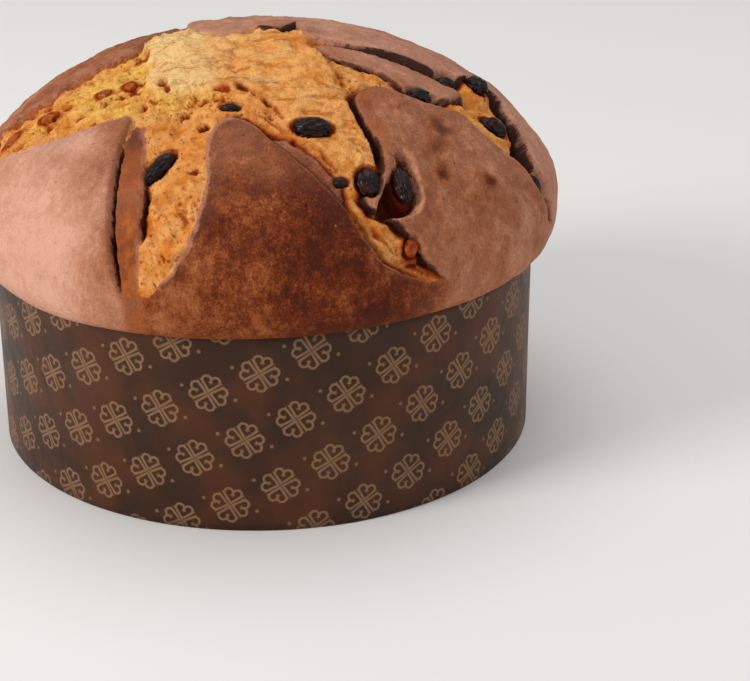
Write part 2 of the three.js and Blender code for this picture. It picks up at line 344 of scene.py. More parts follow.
# After an edge's stops, (climb, azimuth), come its curl, crack, pale and wander.
FLAPS = [
    # broad pale flap, front left
    Flap(Edge([(0, -90), (12, -82), (27, -71), (33.4, -62.5), (39.3, -56), (44.5, -49.5), (48.5, -43.5)],
              0.1, 0.0, 0.0, 1.2, softness=5),
         Edge(BROAD_RIGHT, 1.4, 3.2, 0.1, 0.35, crack_span=(-10, 41)),
         tip=50, roast=0.13, sheen_bloom=0.12, puff=1.0),
    # strip of younger crust beside it, low in the front groove
    Flap(Edge(shifted(BROAD_RIGHT, 0.7), 0.0, 0.0, 0.0, 0.2),
         Edge([(0, -22), (8, -22.4), (13, -22.9), (20, -23.6), (26, -24.5), (31, -25.4), (38, -27.4),
               (44, -30), (50, -34)], 0.3, 2.8, 0.5, 0.9, crack_span=(19, 38)),
         tip=49, roast=0.45, sheen_bloom=0.0, glow=0.9, rise=-1.4, puff=0.3, lumpy=1.1),
    # pointed dark flap, front
    Flap(Edge([(0, -21.4), (2.6, -20.1), (6.8, -18.3), (13, -15.8), (20, -13.5), (26, -12.6), (33, -12),
               (40, -12.6), (47, -13.6), (53, -12)], 0.2, 0.0, 0.8, 0.9),
         Edge(POINTED_RIGHT, 0.9, 1.8, 0.6, 0.6, layers=9),
         tip=52.5, roast=0.81, sheen_bloom=0.06, puff=0.9, lumpy=0.35),
    # torn layer of crust that shows under the pointed flap's right edge
    Flap(Edge(shifted(POINTED_RIGHT, -0.7), 0.0, 0.0, 0.0, 0.3),
         Edge([(27, 15.6), (31, 16.2), (36, 15.2), (41, 12), (46, 6.4), (50, 0)], 0.5, 1.6, 0.3, 1.0,
              layers=5),
         tip=49, roast=0.74, sheen_bloom=0.5, rise=-1.5, puff=0.2, lumpy=1.4, foot=28),
    # lumpy flap, right
    Flap(Edge([(0, 34), (10, 29), (17, 27), (22, 24.5), (26, 21), (28.5, 19.8), (31, 20.8), (33, 23.5),
               (36, 26.5), (43, 28.8), (52, 29.5), (58, 33), (64, 41)], 0.3, 3.2, 0.2, 0.6, wall=((0, 1),)),
         Edge([(0, 69), (13, 66), (23, 64.5), (35, 60.5), (44, 60), (47, 56), (53, 50), (60, 45), (64, 43)],
              0.9, 1.6, 0.8, 0.6),
         tip=58, roast=0.5, sheen_bloom=0.45, puff=0.7, lumpy=1.4),
    # strip of younger crust under the long flap's edge
    Flap(Edge([(46, 74), (49, 62), (51.6, 54.5), (55, 55.6), (59.5, 57.6), (63.6, 58.5), (66, 55), (71, 50),
               (76, 52)], 0.4, 2.6, 0.2, 1.1, wall=((0, 1),)),
         Edge(shifted(LONG_LEFT, -1.4, 50, 80), 0.0, 0.0, 0.0, 0.3),
         tip=77, roast=0.28, sheen_bloom=0.2, glow=0.2, rise=-1.4, puff=0.5, lumpy=1.0, foot=44),
    # long flap over the right and the back
    Flap(Edge(LONG_LEFT, 1.2, 5.0, 0.0, 0.7, crack_span=(-10, 73),
              wall=((36, 0.4), (44, 1.8), (50, 2.4), (60, 2.2), (67, 1), (73, 0.2))),
         Edge([(0, 178), (10, 177), (20, 183), (30, 180.5), (42, 189), (55, 186), (63, 196), (70, 194),
               (80, 204)], 0.8, 2.2, 0.4, 1.0, wall=((0, 0.8),)),
         tip=81, roast=0.26, sheen_bloom=0.4, puff=0.8, lumpy=0.6),
    # scale of crust behind the very top
    Flap(Edge([(66, 178), (72, 160), (78, 138), (82, 120), (86, 100)], 0.6, 3.2, 0.2, 1.4, wall=((0, 1.2),)),
         Edge([(66, 215), (72, 238), (78, 262), (82, 284), (86, 292)], 0.2, 0.8, 0.4, 1.6),
         tip=88.5, roast=0.34, sheen_bloom=0.35, rise=1.2, puff=0.3, lumpy=0.8, foot=64),
    # brown flap, back left
    Flap(Edge([(0, 182), (8, 188), (20, 190), (28, 197), (38, 195), (50, 206), (57, 208), (65, 226)],
              0.6, 2.0, 0.4, 1.0),
         Edge([(0, 266), (20, 270), (29, 272), (36, 275), (44, 277), (51, 275), (57, 270), (62, 266),
               (66, 262)], 0.2, 1.2, 0.3, 1.5, layers=6),
         tip=65, roast=0.54, sheen_bloom=0.35, rise=-0.6, puff=0.5, lumpy=0.7),
]


# ---------------------------------------------------------------- the torn crumb
# Larger torn holes: azimuth, climb and half width in mm.
PITS = [(-15, 60.5, 3.2), (-7, 62.5, 3.4), (-56.5, 52, 2.6), (-51, 57, 3.2), (-38, 60.5, 3.4),
        (-25, 54.5, 2.6), (-41, 54.5, 2.4), (-67, 41.5, 3.4), (-73, 46.5, 3), (-71.5, 31.5, 3.4),
        (2, 57, 3), (-64, 60, 3.2), (-80, 66, 3.4), (-26, 58.5, 2.2), (-74, 24, 2.4), (-60, 46, 2.2)]
PIT_CENTRES = [(dome_point(azimuth, climb), size) for azimuth, climb, size in PITS]
# How far each kind of hollow goes down, in mm.
PIT_DEPTH = 2.4
BIG_HOLE_DEPTH = 2.2
SMALL_HOLE_DEPTH = 1.0
LAYER_DEPTH = 1.2
# How far the crumb in each groove bulges (or sinks, below 0), by azimuth.
groove_bulge = Curve([(-92, -3.0), (-60, -2.6), (-36, -1.5), (-26, -2.4), (-17, 0.6), (0, 0.8), (10, 0.4),
                      (18, -1.0), (26, -1.5), (42, -1.0), (60, -2.6), (90, -3.0), (268, -3.0)], turning=True)
# Climb at which the domed middle breaks off above the grooves, by azimuth. In front right it runs far down.
break_line = Curve([(-95, 66), (-77, 67), (-60, 64.5), (-50, 61.5), (-41, 58.5), (-30, 60.5), (-15, 61.5),
                    (-4, 61), (4, 57), (8, 50), (13, 43), (18, 38), (24, 36), (26.5, 40), (28, 50),
                    (30, 57), (36, 66), (45, 74), (60, 79), (120, 83), (165, 80), (210, 76)], turning=True)
BREAK_SOFTNESS = 2.0        # mm either side of the break over which the step is spread
BREAK_WANDER = 3.0          # about how many mm the break strays from its line
PITTED_BELOW = 4.5          # mm below the break where the row of deeper holes runs
PITTED_WIDTH = 5            # mm over which that row thins out
CRACK_WIDTH = 2.2           # mm from a flap's edge within which the crumb is sunk


class Crumb:
    """The torn crumb at one place: its height in mm against the plain dome, and its finish."""

    def __init__(self, point, azimuth, climb, near):
        past_break = walked_to.at(climb) - walked_to.at(break_line.at(azimuth))
        past_break += BREAK_WANDER * cloudy(point, 10, 4)
        self.crown = ease(-BREAK_SOFTNESS, BREAK_SOFTNESS, past_break)
        pitted = hump(past_break + PITTED_BELOW, PITTED_WIDTH)
        open_crumb = 1 - 0.8 * self.crown
        floor = blend(groove_bulge.at(azimuth), CROWN_RISE - 0.7, self.crown)
        lumps = 1.4 * cloudy(point, 17, 2) + (0.9 + 0.2 * open_crumb) * cloudy(point, 6, 5)
        pull = ridged(swirled(point, 7, 5, 2), 6, 7)
        strands = (0.5 + 1.2 * open_crumb) * (pull - 0.45)
        ragged = swirled(point, 3.5, 2.2)
        big_hole = bubble(ragged, 7, 3, blend(0.25, 0.85, pitted)) * max(open_crumb, pitted)
        small_hole = bubble(ragged, 3.3, 11, 0.3) * open_crumb
        frayed = swirled(point, 4.5, 3.2, 5)
        pit = max(1 - ease(0.4, 1.1, (frayed - centre).length / size) for centre, size in PIT_CENTRES)
        torn_layer = self._layers(near, climb)
        crack = sum(place.crack * hump(min(place.inside, 0), CRACK_WIDTH) for place in near)
        crack *= 0.3 + 0.7 * ease(1, 7, climb)
        self.height = (floor + lumps + strands - BIG_HOLE_DEPTH * big_hole - SMALL_HOLE_DEPTH * small_hole
                       - PIT_DEPTH * pit - LAYER_DEPTH * torn_layer - crack)
        # Painted shade: the crumb is darkened in holes, pits, valleys, cracks and between torn layers.
        deep_crack = 0.3 * crack
        valleys = (0.08 + 0.14 * open_crumb) * (1 - ease(0.1, 0.6, pull))
        shadows = 0.5 * pitted * clamp(1.8 * cloudy(ragged, 4, 8))
        self.hollow = clamp(max(0.66 * pit, 0.9 * big_hole, 0.5 * small_hole, valleys, 0.6 * torn_layer,
                                deep_crack, shadows))

    @staticmethod
    def _layers(near, climb):
        """Depth from 0 to 1 between the torn layers that run along some edges."""
        deepest = 0.0
        for place in near:
            across = -place.inside
            if place.edge.layers and 0 < across < place.edge.layers:
                waver = Vector((across + 0.8 * patch(Vector((climb / 7, 0, 3)), 1), climb * 0.16, 0))
                fading = 1 - across / place.edge.layers
                deepest = max(deepest, clamp(2.2 * patch(waver, 1.7, 51)) * fading ** 0.5)
        return deepest


# ---------------------------------------------------------------- finish over the surface
# Some of these layers carry painted shade (holes, cracks, the shaded sides of lips), the pale one partly
# painted light and the greyish bloom partly a painted sheen.
LAYERS = ("inside", "roast", "sheen_bloom", "glow", "pale", "hollow", "rim", "crown", "crack_at", "crack")
REACH = 12                  # mm either side of an edge that the distance layers count
CREVICE_SHADOW_MIDDLE = -0.5       # where the painted shadow line of a crack runs, in mm inside the flap's edge


class Tint:
    """A patch baked its own way: roast, bloom (partly painted sheen) and glow are added, and it may rise or
    sink (mm).
    """

    def __init__(self, azimuth, climb, size, roast=0.0, sheen_bloom=0.0, rise=0.0, glow=0.0):
        self.middle = dome_point(azimuth, climb)
        self.size = size
        self.roast = roast
        self.sheen_bloom = sheen_bloom
        self.rise = rise
        self.glow = glow


# Azimuth, climb and size in mm of each, then what it adds: roast, bloom (partly painted sheen), rise and
# glow.
TINTS = [
    # broad pale flap: light low down, dusky towards its tip and right edge
    Tint(-48, 10, 20, -0.10, -0.1), Tint(-37, 34, 11, 0.20, 0.55), Tint(-30, 20, 8, 0.10, 0.35),
    Tint(-42, 46, 7, 0.30, 0.5), Tint(-52, 36, 10, 0.08, 0.3), Tint(-29, 8, 12, 0.3, 0.1),
    # strip beside it: dusky where it meets the flap's tip
    Tint(-33, 45, 8, 0.42, 0.3, 0.6, -1.0), Tint(-28, 31, 4, -0.3, 0.1), Tint(-25, 16, 5, 0.15, 0.0),
    # pointed flap: softer brown low on the left, darkest in its middle, greyish bloom at its tip, partly
    # painted sheen
    Tint(-16, 6, 13, -0.22, -0.1), Tint(12, 17, 26, 0.14, -0.3), Tint(-7, 46, 13, -0.16, 0.75),
    Tint(2, 38, 9, -0.05, 0.5), Tint(2.5, 37.5, 2.4, -0.15, 0.3, 0.5), Tint(-4, 4, 16, -0.1, -0.1),
    # lumpy flap: lighter beside the groove, with dark dips
    Tint(30, 47, 6, -0.18, -0.5, -0.5, 0.9), Tint(34, 54, 6.5, -0.15, -0.4, -0.6, 0.9),
    Tint(42, 47, 9, 0.0, 0.4), Tint(26, 30, 6, -0.1, 0.3),
    Tint(49, 42, 5, 0.36, -0.2, -0.6), Tint(43, 38, 3.5, 0.3, 0.0, -0.5), Tint(40, 31, 3, 0.5, -0.3, -0.9),
    Tint(51, 25, 2.6, 0.5, -0.3, -0.8), Tint(36, 36, 3, -0.1, 0.3, 0.8), Tint(45.5, 34, 4, -0.05, 0.3, 0.9),
    Tint(55, 36, 6, -0.12, 0.0, 0.4), Tint(59, 22, 12, -0.12),
    # long flap and the back
    Tint(74, 62, 9, -0.05, 0.3), Tint(120, 40, 30, 0.14), Tint(160, 20, 26, 0.22, -0.2),
    Tint(225, 30, 30, 0.16, -0.1), Tint(200, 78, 16, -0.1, 0.2),
]
# Where the open crumb is palest: partly its own tone, partly painted light on the side facing the window
# lamp.
PALE_AND_LIT_SPOTS = [Tint(-62, 66, 24), Tint(-84, 72, 20), Tint(-72, 40, 7), Tint(-57, 50, 9), Tint(-46, 52, 7),
              Tint(-32, 62, 14), Tint(-110, 74, 18), Tint(-35, 57, 6), Tint(-66, 54, 14)]
# Orange glow of the lip that hangs over the paper, by azimuth.
lip_glow = Curve([(-180, 0.6), (-90, 1.0), (-35, 0.9), (-22, 0.7), (-8, 0.45), (20, 0.3), (60, 0.4),
                  (110, 0.5)], turning=True)


def shared(near, worth):
    """The flaps' own values, mixed by how near each is."""
    return sum(place.weight * worth(place) for place in near) / sum(place.weight for place in near)


# A tear in the lumpy flap around a raisin, pointed at its upper end.
NOTCH = Flap(Edge([(20, 20), (25, 22), (28, 23.2), (32.4, 26.6), (37, 30.6)], 0, 0),
             Edge([(20, 28), (25, 31), (32, 33), (37, 33.8)], 0, 0), tip=40, roast=0, sheen_bloom=0, foot=23)
NOTCH_DEPTH = 3.0           # in mm
NOTCH_LIP = 1.1             # how far the skin swells beside the tear, in mm
OVERHANG = 0.3              # how far a lip leans out, as a share of its curl


class Dough:
    """The loaf's surface at one place on the dome: where it lies, in mm, and its finish."""

    def __init__(self, azimuth, climb):
        plain = dome_point(azimuth, climb)
        outward = dome_normal(azimuth, climb)
        near = [place for place in (flap.place(azimuth, climb) for flap in FLAPS) if place]
        crumb = Crumb(plain, azimuth, climb, near)
        self.finish = dict.fromkeys(LAYERS, 0.0)
        self.finish.update(inside=-REACH, crack_at=-REACH, hollow=crumb.hollow, crown=crumb.crown)
        height = crumb.height
        closing = ease(1.5, 11, climb)          # lips and grooves fade out towards the widest level
        leaning = Vector((0, 0, 0))
        self.in_notch = 0.0
        if near:
            place = max(near, key=lambda candidate: candidate.inside)
            inside = place.inside + place.edge.wander * cloudy(plain, 7, 31) + 0.3 * cloudy(plain, 2.4, 33)
            inside = max(inside, 4 - 1.7 * climb)          # the rim closes over the ends of the grooves
            notch = NOTCH.place(azimuth, climb)
            torn = notch.inside + 0.7 * cloudy(plain, 6, 35) if notch else -REACH
            inside = min(inside, -torn)
            self.in_notch = ease(-1.5, 0.5, torn)
            skin = ease(-1.0, 1.0, inside)
            height = blend(height, self._skin(plain, climb, near, inside, closing), skin)
            overhang = OVERHANG * place.edge.curl * ease(-1.2, 0.8, inside) * hump(max(inside, 0), 3)
            leaning = self._away(azimuth, outward, place) * (overhang * closing)
            height += NOTCH_LIP * hump(torn + 1.6, 1.5) - NOTCH_DEPTH * ease(-0.6, 1.6, torn)
            self.finish["rim"] = max(self.finish["rim"], hump(torn + 0.5, 2))
            # painted shade inside the tear
            self.finish["hollow"] = max(self.finish["hollow"], 0.85 * ease(-1, 1, torn))
        height = blend(0.3 * height, height, closing)
        # paler crumb, partly painted light on the lit upper left
        pale = max(hump((plain - spot.middle).length, spot.size) for spot in PALE_AND_LIT_SPOTS)
        self.finish["pale"] = clamp(pale + 0.35 * crumb.crown * cloudy(plain, 12, 47))
        self.point = self._kept_in(plain + outward * height + leaning)

    def _skin(self, plain, climb, near, inside, closing):
        """Height of the skin, and its finish."""
        innermost = max(near, key=lambda candidate: candidate.inside)
        flap, edge = innermost.flap, innermost.edge
        tints = [(spot, hump((plain - spot.middle).length, spot.size)) for spot in TINTS]
        curl = shared(near, lambda place: place.edge.curl) * hump(max(inside, 0), CURL_REACH) * closing
        puffed = flap.puff * (1 - math.exp(-max(inside, 0) / PUFF_REACH))
        bumps = cloudy(plain, 10, 17) + 0.6 * cloudy(plain, 4.5, 19)
        waves = 0.8 * cloudy(plain, 34, 13) + flap.lumpy * bumps
        rise = shared(near, lambda place: place.flap.rise) + sum(spot.rise * share for spot, share in tints)
        roast = shared(near, lambda place: place.flap.roast) + 0.10 * cloudy(plain, 30, 41)
        sheen_bloom = shared(near, lambda place: place.flap.sheen_bloom) + 0.2 * cloudy(plain, 20, 43)
        roast += sum(spot.roast * share for spot, share in tints)
        sheen_bloom += sum(spot.sheen_bloom * share for spot, share in tints)
        glow = shared(near, lambda place: place.flap.glow) + sum(spot.glow * share for spot, share in tints)
        # Where the painted shadow line of the nearest crack lies, and how dark it is painted.
        cracked = [place for place in near if place.crack > 0.3]
        nearest = min(cracked, key=lambda candidate: abs(candidate.past_crevice_shadow()), default=None)
        crack_at = nearest.past_crevice_shadow() if nearest else REACH
        depth = nearest.crack if nearest else 0
        wall = nearest.edge.wall.at(climb) if nearest else 0
        buried = ease(1.5, 3.5, inside - wall) if nearest else 1
        self.finish.update({
            "inside": clamp(inside / edge.softness, -REACH, REACH),
            "roast": clamp(roast),
            # painted sheen: more greyish bloom near the edges high on the dome
            "sheen_bloom": clamp(sheen_bloom + 0.3 * hump(inside, 7) * ease(80, 110, plain.z)),
            "glow": clamp(glow),
            "rim": shared(near, lambda place: place.pale) * closing,
            "crack_at": clamp(crack_at, -REACH, REACH),
            "crack": (1 - buried) * depth / 3 * (0.3 + 0.7 * closing) * hump(crack_at, 1.5 + wall / 3),
        })
        return rise + puffed + waves * ease(0, 9, inside) + curl

    @staticmethod
    def _away(azimuth, outward, place):
        """The way out of a flap across its nearest edge, along the surface."""
        turn = math.radians(azimuth)
        sideways = Vector((math.cos(turn), math.sin(turn), 0))
        uphill = outward.cross(sideways)
        if place.to_tip < min(place.to_left, place.to_right):
            return uphill
        facing = -1 if place.on_left else 1
        return (sideways * facing + uphill * place.lean).normalized()

    @staticmethod
    def _kept_in(point):
        """Stays within the loaf's widest radius and its height."""
        reach = math.hypot(point.x, point.y)
        shrink = min(1, WIDEST_RADIUS / reach) if reach else 1
        return Vector((point.x * shrink, point.y * shrink, min(point.z, TOTAL_HEIGHT)))


# ---------------------------------------------------------------- fruit seated in the crumb
SEAT_LEVEL = 0.12           # height of the crumb round a raisin, as a share of its half thickness
PEEL_SEAT_LEVEL = 0.45      # and round a candied piece
SHADE_REACH = 1.35                # outlines out to which painted shade darkens the crumb round a raisin
PEEL_SHADE_REACH = 1.9            # and round a candied piece


class Fruit:
    """A raisin or candied piece: its centre and half sizes in mm, and the way it lies."""

    def __init__(self, node):
        corners = np.array([vertex.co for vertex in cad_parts[node].data.vertices]) / MM
        corners = np.unique(corners.round(3), axis=0)
        offsets = corners - corners.mean(axis=0)
        _, directions = np.linalg.eigh(offsets.T @ offsets)
        self.node = node
        self.centre = Vector(corners.mean(axis=0))
        dried = node.startswith("raisin")
        self.seat_level = SEAT_LEVEL if dried else PEEL_SEAT_LEVEL
        self.shade_reach = SHADE_REACH if dried else PEEL_SHADE_REACH
        self.long = Vector(directions[:, 2])
        outward = outward_near(self.centre)
        self.thin = (outward - self.long * outward.dot(self.long)).normalized()
        self.wide = self.long.cross(self.thin)
        axes = (self.thin, self.wide, self.long)
        spreads = [math.sqrt(3 * np.mean((offsets @ np.array(axis)) ** 2)) for axis in axes]
        self.half_thin, self.half_wide, self.half_long = spreads

    def across(self, point):
        """How far a point lies from the middle, seen from above: 1 at the fruit's outline."""
        offset = point - self.centre
        return math.hypot(offset.dot(self.wide) / self.half_wide, offset.dot(self.long) / self.half_long)


fruit_nodes = sorted(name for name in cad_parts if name.startswith(("raisin", "candied")))
FRUITS = [Fruit(name) for name in fruit_nodes]
POCKET_MARGIN = 1.06        # outline of the pocket under a fruit, in outlines of the fruit
DISH = 1.9                  # crumb within this many outlines of a fruit runs smoothly to its seat


def seat_fruit(point, firm):
    """Draws the crumb near a fruit smoothly to its middle height, and sinks it under the fruit itself.

    Firm is how far the surface keeps its own height beside the fruit, from 0 to 1. Gives the new point and
    how much painted shade the nearest fruit casts on the crumb there, from 0 to 1.
    """
    fruit_shade = 0.0
    for fruit in FRUITS:
        offset = point - fruit.centre
        if offset.length > fruit.half_long * DISH:
            continue
        across = fruit.across(point) / POCKET_MARGIN
        height = offset.dot(fruit.thin)
        if abs(height) > fruit.half_thin * 3:
            continue
        seat = fruit.seat_level * fruit.half_thin + 0.25 * height
        drawn = 0.9 * (1 - ease(1.0, DISH, across)) * (1 - firm * ease(1.0, 1.25, across))
        height = blend(height, seat, drawn)
        if across < 1:
            height = min(height, -fruit.half_thin * math.sqrt(1 - across * across) - CLEARANCE)
        point = point + fruit.thin * (height - offset.dot(fruit.thin))
        clear = ease(0.6, 1.6, abs(height) / fruit.half_thin)
        fruit_shade = max(fruit_shade, (1 - ease(0.9, fruit.shade_reach, across)) * (1 - clear))
    return point, fruit_shade


# ---------------------------------------------------------------- building the loaf
LIP_INNER = MOULD_RADIUS + 1.2      # radius where the lip's round ends, just outside the paper
LIP_LEVEL = MOULD_TOP + 0.5         # its underside, where it doesn't sag
LIP_RINGS = 7
# How far the lip hangs down over the paper's edge, in mm, by azimuth.
lip_sag = Curve([(-180, 0.6), (-100, 1.5), (-62, 2.6), (-45, 4.0), (-24, 3.0), (0, 2.0), (40, 0.8),
                 (120, 0.4)], turning=True)


def lip_section(azimuth):
    """Points (radius, level) from the widest level down over the paper's edge and on to the foot."""
    sag = lip_sag.at(azimuth)
    bottom = LIP_LEVEL - sag
    points = []
    for ring in range(1, LIP_RINGS + 1):
        turn = ring / LIP_RINGS * math.pi / 2
        radius = LIP_INNER + (WIDEST_RADIUS - LIP_INNER) * math.cos(turn) ** 0.8
        points.append((radius, WIDEST_LEVEL - (WIDEST_LEVEL - bottom) * math.sin(turn) ** 1.1))
    inside = MOULD_RADIUS - PAPER - CLEARANCE
    foot = SKIRT_RADIUS - PAPER - CLEARANCE
    points += [(MOULD_RADIUS + 0.6, LIP_LEVEL - 0.1 - sag * 0.5), (MOULD_RADIUS + 0.4, LIP_LEVEL),
               (inside, LIP_LEVEL), (inside, SKIRT_TOP + 1.5), (foot, SKIRT_TOP), (foot, 4), (foot - 3, 0.8)]
    return points


def disc_place(x, y):
    """Turns a place in the square from -1 to 1 into an azimuth and a share of the way out to the rim."""
    if x == 0 and y == 0:
        return 0.0, 0.0
    if abs(x) > abs(y):
        share, turn = x, math.pi / 4 * (y / x)
    else:
        share, turn = y, math.pi / 2 - math.pi / 4 * (x / y)
    if share < 0:
        share, turn = -share, turn + math.pi
    return math.degrees(turn), share


def build_loaf():
    shape = bmesh.new()
    bmesh.ops.create_grid(shape, x_segments=DOME_CELLS, y_segments=DOME_CELLS, size=1)
    layers = {name: shape.verts.layers.float.new(name) for name in LAYERS}
    # The square grid becomes a disc, and the disc the dome.
    for vertex in shape.verts:
        azimuth, share = disc_place(vertex.co.x, vertex.co.y)
        dough = Dough(azimuth, climb_after.at((1 - share) * DOME_WALK))
        firm = max(0.7 * ease(-1, 1, dough.finish["inside"]), 0.9 * dough.in_notch)
        vertex.co, fruit_shade = seat_fruit(dough.point, firm)
        # painted shade round the fruit joins the crumb's painted shade
        dough.finish["hollow"] = max(dough.finish["hollow"], 0.5 * fruit_shade)
        for name, layer in layers.items():
            vertex[layer] = dough.finish[name]
    # Its border is drawn down over the paper's edge and on to the foot.
    border = [edge for edge in shape.edges if edge.is_boundary]
    for step in range(len(lip_section(0))):
        grown = bmesh.ops.extrude_edge_only(shape, edges=border)["geom"]
        border = [item for item in grown if isinstance(item, bmesh.types.BMEdge) and item.is_boundary]
        for vertex in {vertex for edge in border for vertex in edge.verts}:
            azimuth = azimuth_of(vertex.co)
            radius, level = lip_section(azimuth)[step]
            down = min((step + 1) / LIP_RINGS, 1)
            ripple = 0.5 * cloudy(vertex.co, 16, 61) * math.sin(math.pi * down)
            vertex[layers["glow"]] = max(vertex[layers["glow"]], lip_glow.at(azimuth) * down ** 3)
            radius = min(radius + ripple, WIDEST_RADIUS)
            vertex.co = round_point(math.radians(azimuth), radius, level)
    bmesh.ops.contextual_create(shape, geom=border)
    bmesh.ops.recalc_face_normals(shape, faces=shape.faces)
    finished("loaf_crust", shape, loaf_finish(), "crust", "loaf")


def add_object(name, data):
    """Puts a mesh, a light or a camera into the scene."""
    added = bpy.data.objects.new(name, data)
    bpy.context.scene.collection.objects.link(added)
    return added


def add_mesh(name, shape, material):
    mesh = bpy.data.meshes.new(name)
    shape.to_mesh(mesh)
    shape.free()
    mesh.materials.append(material)
    return add_object(name, mesh)


def finished(name, shape, material, slot, *nodes):
    """Makes a piece of a bmesh in mm, smooth shaded, riding on the loaf's body in place of CAD nodes."""
    bmesh.ops.scale(shape, vec=(MM, MM, MM), verts=shape.verts)
    piece = add_mesh(name, shape, material)
    for face in piece.data.polygons:
        face.use_smooth = True
    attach(piece, "root")
    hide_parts(*nodes)
    return piece


# ---------------------------------------------------------------- shader sums
class Wire:
    """A value in a material. Sums written with it add the Math nodes that work them out."""

    def __init__(self, finish, socket):
        self.finish = finish
        self.socket = socket

    def __add__(self, other):
        return self.finish.sum("ADD", self, other)

    def __sub__(self, other):
        return self.finish.sum("SUBTRACT", self, other)

    def __rsub__(self, other):
        return self.finish.sum("SUBTRACT", other, self)

    def __mul__(self, other):
        return self.finish.sum("MULTIPLY", self, other)

    def __truediv__(self, other):
        return self.finish.sum("DIVIDE", self, other)

    def __pow__(self, other):
        return self.finish.sum("POWER", self, other)

    __radd__ = __add__
    __rmul__ = __mul__


class Finish:
    """A material under construction."""

    def __init__(self, name):
        self.material = bpy.data.materials.new(name)
        self.material.use_nodes = True
        self.tree = self.material.node_tree
        self.tree.nodes.clear()

    def node(self, kind, settings=None, inputs=None, output=0):
        made = self.tree.nodes.new("ShaderNode" + kind)
        for name, value in (settings or {}).items():
            if name == "stops":
                self._set_stops(made.color_ramp, value)
            else:
                setattr(made, name, value)
        for name, value in (inputs or {}).items():
            if isinstance(value, Wire):
                self.tree.links.new(value.socket, made.inputs[name])
            else:
                made.inputs[name].default_value = value
        return Wire(self, made.outputs[output])

    @staticmethod
    def _set_stops(ramp, stops):
        for index, (position, colour) in enumerate(stops):
            if index < len(ramp.elements):
                ramp.elements[index].position = position
            else:
                ramp.elements.new(position)
            ramp.elements[index].color = colour

    def sum(self, operation, first, second=0.0):
        return self.node("Math", {"operation": operation}, {0: first, 1: second})

    def largest(self, first, second):
        return self.sum("MAXIMUM", first, second)

    def smallest(self, first, second):
        return self.sum("MINIMUM", first, second)

    def nearest(self, value):
        """The nearest whole number."""
        return self.sum("ROUND", value)

    def size_of(self, value):
        return self.sum("ABSOLUTE", value)

    def ease(self, low, high, value):
        """0 below low and 1 above high, softly; high may be the lower of the two."""
        return self.node("MapRange", {"interpolation_type": "SMOOTHSTEP"},
                         {"Value": value, "From Min": low, "From Max": high})

    def far(self, x, y):
        return (x * x + y * y) ** 0.5

    def mask(self, name):
        return self.node("Attribute", {"attribute_name": name}, output="Fac")

    def place(self):
        return self.node("TexCoord", output="Object")

    def grain(self, size, detail=3.0, roughness=0.55, stretch=None, swirl=0.0):
        """Soft noise from 0 to 1 with blotches about `size` mm across, curled where swirl is above 0."""
        where = self.place()
        if stretch:
            where = self.node("Mapping", inputs={"Vector": where, "Scale": stretch})
        return self.node("TexNoise", {"noise_dimensions": "3D"},
                         {"Vector": where, "Scale": 1 / (size * MM), "Detail": detail,
                          "Roughness": roughness, "Distortion": swirl})

    def cells(self, size, randomness=1.0):
        """Distance from the nearest of scattered points about `size` mm apart."""
        return self.node("TexVoronoi", {"feature": "F1"},
                         {"Vector": self.place(), "Scale": 1 / (size * MM), "Randomness": randomness})

    def dots(self, size, radius, share):
        """Round spots on that share of scattered points about `size` mm apart; radius is a part of size."""
        inputs = {"Vector": self.place(), "Scale": 1 / (size * MM), "Randomness": 1.0}
        spread = self.node("TexVoronoi", {"feature": "F1"}, inputs)
        tag = self.node("TexVoronoi", {"feature": "F1"}, inputs, output="Color")
        chosen = self.sum("LESS_THAN", self.node("SeparateColor", inputs={0: tag}), share)
        return self.ease(radius, radius * 0.5, spread) * chosen

    def tint(self, first, second, share, how="MIX"):
        """Two colours mixed by a share from 0 to 1."""
        return self.node("Mix", {"data_type": "RGBA", "blend_type": how, "clamp_factor": True},
                         {0: share, 6: first, 7: second}, output=2)

    def ramp(self, stops, value):
        return self.node("ValToRGB", {"stops": stops}, {"Fac": value})

    def relief(self, height, depth, below=None):
        """Small relief; height runs from 0 to 1 over `depth` mm."""
        inputs = {"Height": height, "Strength": 1.0, "Distance": depth * MM}
        if below:
            inputs["Normal"] = below
        return self.node("Bump", inputs=inputs)

    def finish(self, **inputs):
        """Closes the material with one Principled shader; words in the socket names are joined by _."""
        named = {name.replace("_", " "): value for name, value in inputs.items()}
        shader = self.node("BsdfPrincipled", inputs=named)
        outlet = self.tree.nodes.new("ShaderNodeOutputMaterial")
        self.tree.links.new(shader.socket, outlet.inputs["Surface"])
        return self.material


def colour(red, green, blue):
    """A screen colour from 0 to 255 as the linear colour that shaders take."""
    linear = [(part / 255 / 12.92) if part < 11 else ((part / 255 + 0.055) / 1.055) ** 2.4
              for part in (red, green, blue)]
    return (*linear, 1.0)


# ---------------------------------------------------------------- finish of the dough
ROASTS = [(0.0, colour(226, 170, 146)), (0.2, colour(206, 146, 118)), (0.42, colour(184, 118, 84)),
          (0.62, colour(158, 86, 42)), (0.82, colour(114, 46, 12)), (1.0, colour(78, 26, 4))]
# greyish mauve of the bloom, partly painted sheen
MAUVE_SHEEN = colour(140, 94, 74)
YOUNG_CRUST = colour(192, 106, 46)
YOUNG_DEEP = colour(126, 52, 12)
TORN_EDGE = colour(226, 158, 126)
FRECKLE = colour(214, 150, 112)
SCORCH = colour(78, 34, 16)
CRUMB_TAN = colour(250, 178, 104)
CRUMB_ORANGE = colour(226, 132, 42)
CRUMB_YELLOW = colour(255, 205, 98)
CRUMB_PALE = colour(255, 219, 150)
# deep orange of the crumb, also painted as shade in holes and pores
CRUMB_DEEP = colour(174, 70, 12)
# painted shadow in the crumb's deepest holes
CRUMB_SHADOW = colour(92, 28, 10)
